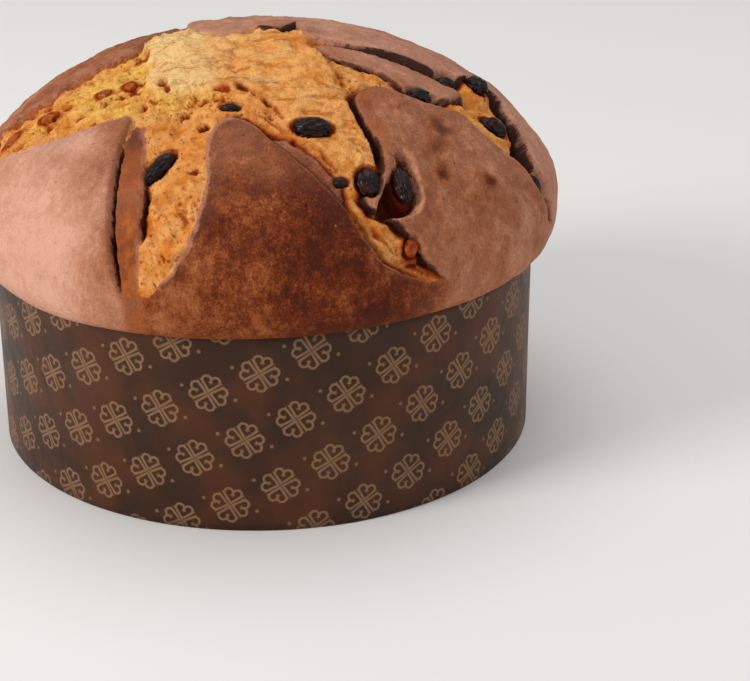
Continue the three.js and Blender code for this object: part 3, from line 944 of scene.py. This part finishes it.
# painted shadow colour of cracks and of the shaded sides of lips
CREVICE_SHADOW = colour(42, 12, 8)


def crust_colour(finish, fine, blisters):
    mottle = finish.grain(13, 4.0, 0.6)
    streaks = finish.grain(3.4, 4.0, 0.7, (1.0, 1.0, 0.7))
    roast = finish.mask("roast")
    uneven = (mottle - 0.5) * 0.9 + (streaks - 0.5) * 0.8 + (fine - 0.5) * 0.7
    baked = finish.ramp(ROASTS, roast + uneven * (roast * 0.5 + 0.45))
    # Greyish mauve bloom, partly the crust's own tone and partly painted sheen.
    mauve_sheen = finish.mask("sheen_bloom") * finish.ease(0.3, 0.68, mottle * 0.4 + streaks * 0.35 + fine * 0.25)
    baked = finish.tint(baked, MAUVE_SHEEN, mauve_sheen * 0.75)
    young = finish.tint(YOUNG_DEEP, YOUNG_CRUST, finish.ease(0.38, 0.7, mottle * 0.4 + streaks * 0.6))
    baked = finish.tint(baked, young, finish.mask("glow") * (streaks * 0.5 + 0.6))
    baked = finish.tint(baked, FRECKLE, blisters * 0.42)
    ragged = finish.ease(0.4, 0.6, fine)
    return finish.tint(baked, SCORCH, finish.dots(4.1, 0.15, 0.7) * ragged * (roast * 0.6 + 0.2))


def crumb_colour(finish, pores, curls, shaded_folds):
    mottle = finish.grain(8, 4.0, 0.6)
    speckle = finish.grain(2.2, 4.0, 0.7)
    crown = finish.mask("crown")
    warm = finish.ease(0.36, 0.62, mottle * 0.6 + speckle * 0.4 + crown * 0.04)
    # painted shade in the crown's creases
    torn = finish.tint(CRUMB_ORANGE, CRUMB_TAN, warm * (1 - shaded_folds * 0.7))
    # Paler crumb: partly its own tone, partly painted light on the lit upper left.
    pale = finish.mask("pale") * finish.ease(0.3, 0.55, speckle * 0.6 + mottle * 0.4)
    torn = finish.tint(torn, finish.tint(CRUMB_YELLOW, CRUMB_PALE, crown), pale)
    torn = finish.tint(torn, CRUMB_DEEP, finish.ease(0.5, 0.28, curls) * (0.5 - crown * 0.15))
    # Painted shade in holes, pores and cracks: deep orange, then dark.
    hollow = finish.mask("hollow")
    torn = finish.tint(torn, CRUMB_DEEP, finish.ease(0.08, 0.5, hollow + (speckle - 0.5) * 0.4))
    torn = finish.tint(torn, CRUMB_DEEP, pores * 0.7)
    return finish.tint(torn, CRUMB_SHADOW, finish.ease(0.38, 0.85, hollow + (speckle - 0.5) * 0.3))


def loaf_finish():
    finish = Finish("baked_dough")
    fine = finish.grain(0.9, 3.0, 0.6)
    coarse = finish.grain(2.4, 4.0, 0.65)
    crown = finish.mask("crown")
    # small pores, sunk in the relief and painted darker as shade
    pores = finish.ease(0.34, 0.12, finish.cells(2.3)) * finish.ease(0.46, 0.62, finish.grain(5, 2.0))
    pores = pores * (1 - crown * 0.7)
    curls = finish.grain(4.2, 4.0, 0.6, (1.0, 1.0, 1.4), swirl=1.6)
    plaits = finish.grain(8, 5.0, 0.58, (0.6, 1.2, 1.2), swirl=1.0)
    # Creases in the crown: sunk in the relief and painted darker as shade.
    shaded_folds = finish.ease(0.46, 0.36, plaits) * crown
    blisters = finish.dots(4.6, 0.14, 0.7) * finish.ease(0.4, 0.6, fine)
    inside = finish.mask("inside") + (coarse - 0.5) * 1.6 + (fine - 0.5) * 0.6
    skin = finish.ease(-0.35, 0.35, inside)
    crumb = crumb_colour(finish, pores, curls - shaded_folds * 0.15, shaded_folds)
    surface = finish.tint(crumb, crust_colour(finish, fine, blisters), skin)
    rim = finish.ease(1.3, 0.2, finish.size_of(inside - 0.4)) * finish.mask("rim")
    surface = finish.tint(surface, TORN_EDGE, rim * finish.ease(0.25, 0.6, coarse) * 0.75)
    # Painted shadow: a dark line along each crack beside a lip, reaching up the lip's shaded side.
    beside = finish.mask("crack_at") + (coarse - 0.5) * 1.5 + (finish.grain(7, 2.0) - 0.5) * 2.2
    crack = finish.mask("crack")
    crevice_shadow = finish.ease(crack * 0.9 + 0.5, crack * 0.4, finish.size_of(beside))
    surface = finish.tint(surface, CREVICE_SHADOW, crevice_shadow * finish.smallest(crack, 1.0) * 0.94)

    crumb_relief = (coarse - 0.5) * 1.2 + (curls - 0.5) * (1.6 - crown * 1.1) + (fine - 0.5) * 0.5
    crumb_relief = crumb_relief - pores * 0.7 + (plaits - 0.5) * crown * 3.0 - shaded_folds * 0.3
    wrinkles = finish.grain(4.5, 3.0, 0.6, (1.0, 1.0, 0.5))
    crust_relief = (wrinkles - 0.5) * 0.7 + (coarse - 0.5) * 0.7 + (fine - 0.5) * 0.5 + blisters * 0.2
    relief = finish.relief(crust_relief * skin + crumb_relief * (1 - skin), 1.0)
    roughness = 0.9 - skin * 0.32 + (coarse - 0.5) * 0.3
    return finish.finish(Base_Color=surface, Roughness=roughness, Normal=relief, Specular_IOR_Level=0.13,
                         Subsurface_Weight=0.05, Subsurface_Scale=0.002)


# ---------------------------------------------------------------- finish of the mould
PAPER_DARK = colour(46, 27, 14)
PAPER_WARM = colour(84, 43, 18)
PAPER_GREY = colour(70, 50, 36)
INK = colour(140, 106, 76)
KRAFT = colour(122, 86, 56)
ROW = (18.2, 7.8)            # from one printed motif to the next along a row, in mm
STAGGER = (12.3, -18.0)      # and from one row to the next
MOTIF_TILT = -14
PETAL_CENTRE = (4.9, 1.6)    # middle of one of the two rounds of a petal, from the motif's middle
PETAL_ROUND = 2.1
LINE = 0.42                  # half the width of the printed line
DOT_REACH = 9.8              # from the motif's middle to the dot on either side
DOT = 0.65                   # radius of the dots
STAGGER_START = 0.5          # where the first row lies, in steps between rows


def motif_place(finish, along_band, up_band):
    """Place in mm on the paper, seen from the middle of the nearest motif and turned with it."""
    det = ROW[0] * STAGGER[1] - ROW[1] * STAGGER[0]
    row = (along_band * STAGGER[1] - up_band * STAGGER[0]) / det
    stagger = (up_band * ROW[0] - along_band * ROW[1]) / det
    row = row - finish.nearest(row)
    stagger = stagger + STAGGER_START - finish.nearest(stagger + STAGGER_START)
    x = row * ROW[0] + stagger * STAGGER[0]
    y = row * ROW[1] + stagger * STAGGER[1]
    turn = math.radians(MOTIF_TILT)
    return x * math.cos(turn) + y * math.sin(turn), y * math.cos(turn) - x * math.sin(turn)


def printed(finish, along_band, up_band):
    """1 on the ink of a four-petalled ornament drawn in outline, with a dot on either side, else 0."""
    x, y = motif_place(finish, along_band, up_band)
    quarter = math.pi / 2
    angle = finish.sum("ARCTAN2", y, x)
    folded = angle - finish.nearest(angle / quarter) * quarter
    reach = finish.far(x, y)
    out = reach * finish.sum("COSINE", folded)
    side = finish.size_of(reach * finish.sum("SINE", folded))
    rounds = finish.far(out - PETAL_CENTRE[0], side - PETAL_CENTRE[1]) - PETAL_ROUND
    half_round = math.asin(PETAL_ROUND / math.hypot(*PETAL_CENTRE))
    spread = math.atan2(PETAL_CENTRE[1], PETAL_CENTRE[0]) + half_round
    wedge = side * math.cos(spread) - out * math.sin(spread)
    stem = finish.largest(wedge, out - PETAL_CENTRE[0])
    petal = finish.smallest(rounds, stem)
    outline = finish.ease(LINE + 0.18, LINE - 0.12, finish.size_of(petal + LINE + 0.1))
    seed = finish.ease(0.75, 0.35, finish.far((out - 4.3) * 0.6, side)) * 0.55
    dot = finish.ease(DOT + 0.2, DOT - 0.15, finish.far(finish.size_of(x) - DOT_REACH, y)) * 0.9
    return finish.largest(finish.largest(outline, seed), dot)


def paper_finish():
    finish = Finish("printed_mould_paper")
    uv = finish.node("UVMap", {"uv_map": BAND_MAP})
    share_along = finish.node("SeparateXYZ", inputs={0: uv}, output=0)
    share_up = finish.node("SeparateXYZ", inputs={0: uv}, output=1)
    ink = printed(finish, share_along * BAND_LENGTH, share_up * BAND_HEIGHT)
    worn = finish.grain(3.0, 3.0)
    clouds = finish.grain(26, 3.0)
    fibres = finish.grain(0.8, 4.0, 0.7, (1, 1, 0.35))
    ground = finish.tint(PAPER_DARK, PAPER_WARM, finish.ease(0.35, 0.7, clouds))
    ground = finish.tint(ground, PAPER_GREY, finish.ease(0.5, 0.8, finish.grain(40, 2.0)) * 0.4)
    ground = finish.tint(ground, PAPER_WARM, fibres * 0.3)
    surface = finish.tint(ground, INK, ink * (0.55 + worn * 0.5))
    roughness = 0.48 + (fibres - 0.5) * 0.2 + ink * 0.12
    relief = finish.relief(clouds * 1.6 + fibres * 0.06 + worn * 0.08, 1.0)
    return finish.finish(Base_Color=surface, Roughness=roughness, Normal=relief, Specular_IOR_Level=0.22)


def kraft_finish():
    finish = Finish("plain_mould_paper")
    fibres = finish.grain(1.1, 5.0, 0.7, (1, 0.3, 1))
    clouds = finish.grain(20, 3.0)
    surface = finish.tint(KRAFT, PAPER_WARM, finish.ease(0.3, 0.75, fibres * 0.5 + clouds * 0.5))
    relief = finish.relief(fibres * 0.12 + clouds * 0.2, 1.0)
    return finish.finish(Base_Color=surface, Roughness=0.7 - fibres * 0.15, Normal=relief)


# ---------------------------------------------------------------- finish of the fruit
RAISIN_BLACK = colour(14, 6, 6)
RAISIN_RED = colour(62, 18, 12)
RAISIN_BLOOM = colour(58, 44, 50)
PEEL = colour(178, 76, 8)
PEEL_DEEP = colour(120, 36, 4)
PEEL_LIGHT = colour(226, 132, 30)


def raisin_finish():
    finish = Finish("raisin_skin")
    fold = finish.mask("fold")
    blotch = finish.grain(4, 3.0)
    surface = finish.tint(RAISIN_BLACK, RAISIN_RED, finish.ease(0.4, 0.75, blotch) * 0.8)
    dusted = finish.ease(0.45, 0.8, finish.grain(2.2, 4.0, 0.65)) * (1 - fold) * 0.15
    surface = finish.tint(surface, RAISIN_BLOOM, dusted)
    relief = finish.relief(finish.grain(0.9, 3.0) * 0.12 + finish.grain(0.35, 2.0) * 0.04, 1.0)
    roughness = 0.36 + fold * 0.3 + (blotch - 0.5) * 0.3
    return finish.finish(Base_Color=surface, Roughness=roughness, Normal=relief, Specular_IOR_Level=0.14,
                         Coat_Weight=0.25, Coat_Roughness=0.08)


def peel_finish():
    finish = Finish("candied_peel")
    blotch = finish.grain(3, 3.0)
    surface = finish.tint(PEEL_DEEP, PEEL, finish.ease(0.3, 0.6, blotch))
    surface = finish.tint(surface, PEEL_LIGHT, finish.ease(0.55, 0.8, finish.grain(1.5, 3.0)) * 0.6)
    relief = finish.relief(finish.grain(0.8, 3.0) * 0.15, 1.0)
    return finish.finish(Base_Color=surface, Roughness=0.3 + (blotch - 0.5) * 0.2, Normal=relief,
                         Specular_IOR_Level=0.2, Coat_Weight=0.08, Coat_Roughness=0.12)


# ---------------------------------------------------------------- paper mould
BAND_MAP = "round_and_up"
BAND_OVERLAP = 12           # glued overlap of the strip's ends, in mm
BAND_SEAM = 176             # azimuth where the strip starts
BAND_COLUMNS = 420
BAND_ROWS = 16
BAND_HEIGHT = MOULD_TOP - MOULD_FOOT
BAND_LENGTH = 2 * math.pi * MOULD_RADIUS + BAND_OVERLAP
BAND_WAVE = 0.3             # how far the paper bulges here and there, in mm


def thicken(piece, thickness):
    """Gives a sheet its thickness in mm, grown towards the inside."""
    wall = piece.modifiers.new("paper_thickness", "SOLIDIFY")
    wall.thickness = thickness * MM
    wall.offset = -1


def build_band():
    shape = bmesh.new()
    bmesh.ops.create_grid(shape, x_segments=BAND_COLUMNS, y_segments=BAND_ROWS, size=0.5)
    uv_layer = shape.loops.layers.uv.new(BAND_MAP)
    for face in shape.faces:
        for corner in face.loops:
            corner[uv_layer].uv = (corner.vert.co.x + 0.5, corner.vert.co.y + 0.5)
    for vertex in shape.verts:
        walked = (vertex.co.x + 0.5) * BAND_LENGTH
        level = MOULD_FOOT + (vertex.co.y + 0.5) * BAND_HEIGHT
        turn = math.radians(BAND_SEAM) + walked / MOULD_RADIUS
        lapped = walked - (BAND_LENGTH - BAND_OVERLAP)
        radius = MOULD_RADIUS + (PAPER + 0.1) * ease(-4, 0, lapped)
        flat = round_point(turn, MOULD_RADIUS, level)
        radius += BAND_WAVE * (0.5 + 0.5 * cloudy(Vector((flat.x, flat.y, flat.z * 0.5)), 28, 71))
        vertex.co = round_point(turn, radius, level)
    bmesh.ops.recalc_face_normals(shape, faces=shape.faces)
    middle = shape.faces[:][len(shape.faces) // 2]
    centre = middle.calc_center_median()
    if middle.normal.dot(Vector((centre.x, centre.y, 0))) < 0:
        bmesh.ops.reverse_faces(shape, faces=shape.faces)
    thicken(finished("mould_band", shape, paper_finish(), "printed_paper", "paper_band"), PAPER)


PLEATS = 120
PLEAT_DEPTH = 0.12          # in mm
# Rings pressed into the bottom, from the rim inwards: their width and the step up after each, in mm.
BASE_RINGS = ((8, 0.0), (3, 0.5), (4, 0.0), (3, -0.5), (30, 0.0), (12, 0.0))


def build_base():
    """The round bottom, with a pressed ring and a pleated rim turned up inside the strip."""
    shape = bmesh.new()
    outline = SKIRT_RADIUS - PLEAT_DEPTH
    bmesh.ops.create_circle(shape, cap_ends=True, segments=PLEATS * 3, radius=outline)
    disc = shape.faces[:]
    walls = bmesh.ops.extrude_edge_only(shape, edges=shape.edges[:])["geom"]
    raised = [item for item in walls if isinstance(item, bmesh.types.BMVert)]
    bmesh.ops.translate(shape, vec=(0, 0, SKIRT_TOP), verts=raised)
    for vertex in raised:
        pleat = math.cos(math.radians(azimuth_of(vertex.co)) * PLEATS)
        swell = 1 + PLEAT_DEPTH * pleat / outline
        vertex.co.x *= swell
        vertex.co.y *= swell
    for width, lift in BASE_RINGS:
        bmesh.ops.inset_region(shape, faces=disc, thickness=width, depth=0, use_even_offset=True)
        inner = list({vertex for face in disc for vertex in face.verts})
        bmesh.ops.translate(shape, vec=(0, 0, lift), verts=inner)
    bmesh.ops.recalc_face_normals(shape, faces=shape.faces)
    lowest = min(shape.faces, key=lambda face: face.calc_center_median().z)
    if lowest.normal.z > 0:
        bmesh.ops.reverse_faces(shape, faces=shape.faces)
    thicken(finished("mould_base", shape, kraft_finish(), "plain_paper", "paper_base"), BASE_PAPER)


# ---------------------------------------------------------------- raisins and candied fruit
def laid(fruit, unit_point):
    """The place of a fruit's point that lies at unit_point on a ball of radius 1."""
    return (fruit.centre + fruit.thin * unit_point.z * fruit.half_thin
            + fruit.wide * unit_point.y * fruit.half_wide + fruit.long * unit_point.x * fruit.half_long)


def build_raisin(fruit, seed, material):
    shape = bmesh.new()
    bmesh.ops.create_icosphere(shape, subdivisions=5, radius=1)
    fold_layer = shape.verts.layers.float.new("fold")
    drift = Vector((seed * 3.7, seed * 1.3, -seed * 2.1))
    for vertex in shape.verts:
        unit = vertex.co.normalized()
        lengthwise = Vector((unit.x * 0.9, unit.y * 1.5, unit.z * 1.5))
        crease = 1 - clamp(abs(noise.noise(lengthwise * 1.15 + drift)) * 3.4)
        wrinkle = 1 - clamp(abs(noise.noise(lengthwise * 2.7 - drift)) * 3.0)
        dent = 0.5 + 0.5 * noise.noise(unit * 1.1 + drift * 0.7)
        depth = 0.20 * crease * crease + 0.05 * wrinkle + 0.15 * dent
        vertex[fold_layer] = clamp(crease * 0.8 + wrinkle * 0.3)
        vertex.co = laid(fruit, unit * (1 - depth))
    bmesh.ops.recalc_face_normals(shape, faces=shape.faces)
    finished(fruit.node + "_wrinkled", shape, material, "raisin_skin", fruit.node)


def build_candied(fruit, seed, material):
    """A diced piece: an oval pressed towards a box, with soft corners."""
    shape = bmesh.new()
    bmesh.ops.create_icosphere(shape, subdivisions=4, radius=1)
    drift = Vector((seed * 2.9, -seed * 1.9, seed))
    for vertex in shape.verts:
        unit = vertex.co.normalized()
        boxed = unit / max(abs(part) for part in unit) * 0.74
        dent = 0.34 * (0.5 + 0.5 * noise.noise(unit * 1.3 + drift))
        nick = 0.10 * abs(noise.noise(unit * 3.1 - drift))
        vertex.co = laid(fruit, unit.lerp(boxed, 0.35) * (1 - dent - nick))
    bmesh.ops.recalc_face_normals(shape, faces=shape.faces)
    finished(fruit.node + "_diced", shape, material, "candied_peel", fruit.node)


# ---------------------------------------------------------------- stage
FLOOR_TONE = colour(250, 249, 247)
FLOOR_SHADE = colour(244, 243, 241)
FLOOR_SIZE = 8.0            # in metres
# Soft lights: name, place and size in metres, power in watts and tone.
LIGHTS = (("window", (-1.5, -0.8, 1.0), 0.8, 19.5, (1.0, 0.985, 0.96)),
          ("ceiling", (0.1, 0.3, 1.8), 1.6, 9, (1, 1, 1)),
          ("bounce", (1.4, -1.0, 0.6), 1.2, 3, (1, 1, 1)))
SKY_STRENGTH = 0.42


def build_floor():
    finish = Finish("pale_floor")
    tone = finish.tint(FLOOR_TONE, FLOOR_SHADE, finish.grain(400, 2.0))
    shape = bmesh.new()
    bmesh.ops.create_grid(shape, x_segments=8, y_segments=8, size=FLOOR_SIZE / 2)
    floor = add_mesh("floor", shape, finish.finish(Base_Color=tone, Roughness=0.9, Specular_IOR_Level=0.1))


def aimed(thing, position, target):
    thing.location = position
    thing.rotation_euler = (Vector(target) - Vector(position)).to_track_quat("-Z", "Y").to_euler()


def add_light(name, position, target, size, power, tone):
    lamp = bpy.data.lights.new(name, "AREA")
    lamp.shape = "DISK"
    lamp.size = size
    lamp.energy = power
    lamp.color = tone
    aimed(add_object(name, lamp), position, target)


def build_stage():
    build_floor()
    middle = (0, 0, TOTAL_HEIGHT * MM * 0.5)
    for name, position, size, power, tone in LIGHTS:
        add_light(name, position, middle, size, power, tone)
    world = bpy.data.worlds.new("studio")
    world.use_nodes = True
    sky = world.node_tree.nodes["Background"]
    sky.inputs["Color"].default_value = (1, 1, 1, 1)
    sky.inputs["Strength"].default_value = SKY_STRENGTH
    bpy.context.scene.world = world
    bpy.context.scene.view_settings.view_transform = "Standard"


CAMERA_PLACE = (0.0, -0.6978, 0.3309)
CAMERA_SIGHT = (0.0573, 0.9158, -0.3975)
CAMERA_LENS = 90            # focal length and sensor width in mm
CAMERA_SENSOR = 36


def build_camera():
    camera_data = bpy.data.cameras.new("camera")
    camera_data.lens = CAMERA_LENS
    camera_data.sensor_width = CAMERA_SENSOR
    camera = add_object("camera", camera_data)
    aimed(camera, CAMERA_PLACE, Vector(CAMERA_PLACE) + Vector(CAMERA_SIGHT))
    bpy.context.scene.camera = camera


# ---------------------------------------------------------------- everything
build_camera()
build_stage()
build_loaf()
build_band()
build_base()
raisin_material = raisin_finish()
peel_material = peel_finish()
for number, fruit in enumerate(FRUITS, start=1):
    if fruit.node.startswith("raisin"):
        build_raisin(fruit, number, raisin_material)
    else:
        build_candied(fruit, number, peel_material)
